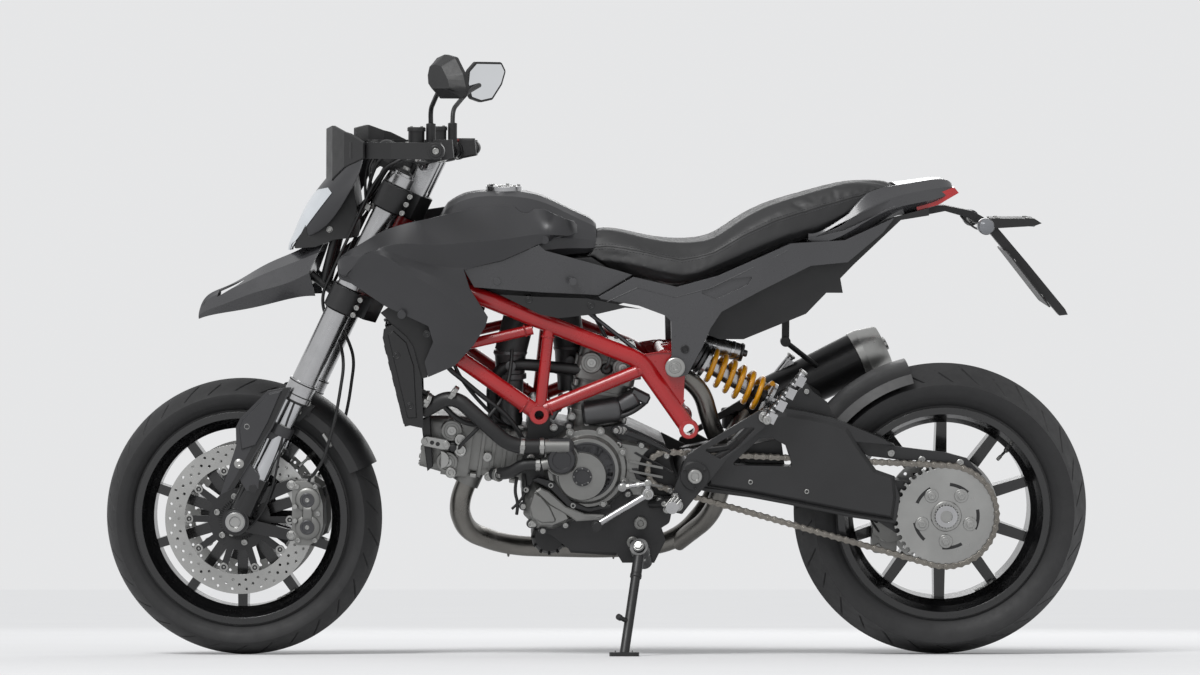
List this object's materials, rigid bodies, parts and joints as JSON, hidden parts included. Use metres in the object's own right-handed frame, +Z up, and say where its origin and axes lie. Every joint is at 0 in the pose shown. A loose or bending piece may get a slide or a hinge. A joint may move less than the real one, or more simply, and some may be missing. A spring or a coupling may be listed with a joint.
{
  "type": "supermoto motorcycle",
  "caption": "Supermoto motorcycle with a red trellis frame, single-sided swingarm, upside-down fork and high bars, leaning on its side stand.",
  "frame": {"origin": "on the ground, at the middle of the machine's box", "axes": "+X towards the front wheel, +Y to the rider's left, +Z up; the machine leans to +Y on its side stand"},
  "size_m": [2.1134, 0.8792, 1.3135],
  "materials": {
    "red_frame": "gloss red powder coat",
    "body_grey": "satin charcoal painted plastic",
    "body_light": "lighter charcoal painted plastic",
    "black_plastic": "moulded black plastic",
    "dark_plastic": "moulded dark grey plastic",
    "seat_cover": "black grained seat cover",
    "tyre": "road tyre rubber",
    "rubber": "matt rubber",
    "wheel_black": "satin black cast wheel",
    "steel": "ground steel",
    "chrome": "polished fork tube",
    "fork_silver": "bright anodised",
    "cast_aluminium": "grey cast aluminium",
    "swingarm_grey": "charcoal painted casting",
    "engine_black": "black painted cases",
    "spring_yellow": "yellow powder coat",
    "lens_clear": "clear lens",
    "lens_red": "red lens",
    "muffler_steel": "satin steel"
  },
  "bodies": {
    "chassis": {"trellis_frame": "red_frame", "side_subframes": "body_light", "engine_cases": "engine_black", "engine_cylinders": "cast_aluminium", "engine_covers": "cast_aluminium", "radiator": "engine_black", "radiator_shrouds": "black_plastic", "coolant_hoses": "rubber", "fuel_tank": "body_grey", "fuel_cap": "fork_silver", "tank_shrouds": "body_grey", "airbox": "dark_plastic", "side_covers": "body_light", "lower_covers": "black_plastic", "seat": "seat_cover", "tail_cowl": "body_light", "under_tail": "black_plastic", "tail_light": "lens_red", "plate_bracket": "black_plastic", "swingarm": "swingarm_grey", "drive_chain": "steel", "rear_caliper": "cast_aluminium", "rear_hugger": "black_plastic", "rear_shock": "fork_silver", "shock_spring": "spring_yellow", "muffler": "muffler_steel", "exhaust_pipes": "muffler_steel", "heel_plates": "swingarm_grey", "foot_controls": "fork_silver", "stand_bracket": "engine_black"},
    "steering": {"fork_tubes": "fork_silver", "fork_legs": "chrome", "front_spindle": "fork_silver", "triple_clamps": "engine_black", "fork_guards": "body_grey", "front_calipers": "cast_aluminium", "front_fender": "black_plastic", "handlebar": "wheel_black", "grips": "rubber", "hand_controls": "black_plastic", "hand_guards": "black_plastic", "mirrors": "black_plastic", "headlight_cowl": "body_grey", "headlight_lens": "lens_clear", "beak": "body_light", "cowl_stay": "black_plastic", "instrument_panel": "black_plastic", "brake_hoses": "rubber"},
    "front_wheel": {"front_tyre": "tyre", "front_wheel": "wheel_black", "front_discs": "steel"},
    "rear_wheel": {"rear_tyre": "tyre", "rear_wheel": "wheel_black", "rear_disc": "steel", "rear_spindle": "fork_silver", "rear_sprocket": "steel"},
    "side_stand": {"side_stand": "engine_black"}
  },
  "joints": [
    {"name": "steering_turn", "type": "hinge", "parent": "chassis", "child": "steering", "pos_m": [0.48841, -0.0707, 0.77527], "axis": [-0.4313, 0.1412, 0.8911], "range_deg": [-24, 36]},
    {"name": "front_wheel_spin", "type": "hinge", "parent": "steering", "child": "front_wheel", "pos_m": [0.76009, -0.15037, 0.29655], "axis": [0.0944, 0.9893, -0.111], "continuous": true},
    {"name": "rear_wheel_spin", "type": "hinge", "parent": "chassis", "child": "rear_wheel", "pos_m": [-0.73975, -0.14366, 0.3135], "axis": [0.0001, 0.9877, -0.1564], "continuous": true},
    {"name": "side_stand_fold", "type": "hinge", "parent": "chassis", "child": "side_stand", "pos_m": [-0.08467, -0.00599, 0.22443], "axis": [0.1984, 0.8805, 0.4306], "range_deg": [0, 104.86]}
  ]
}
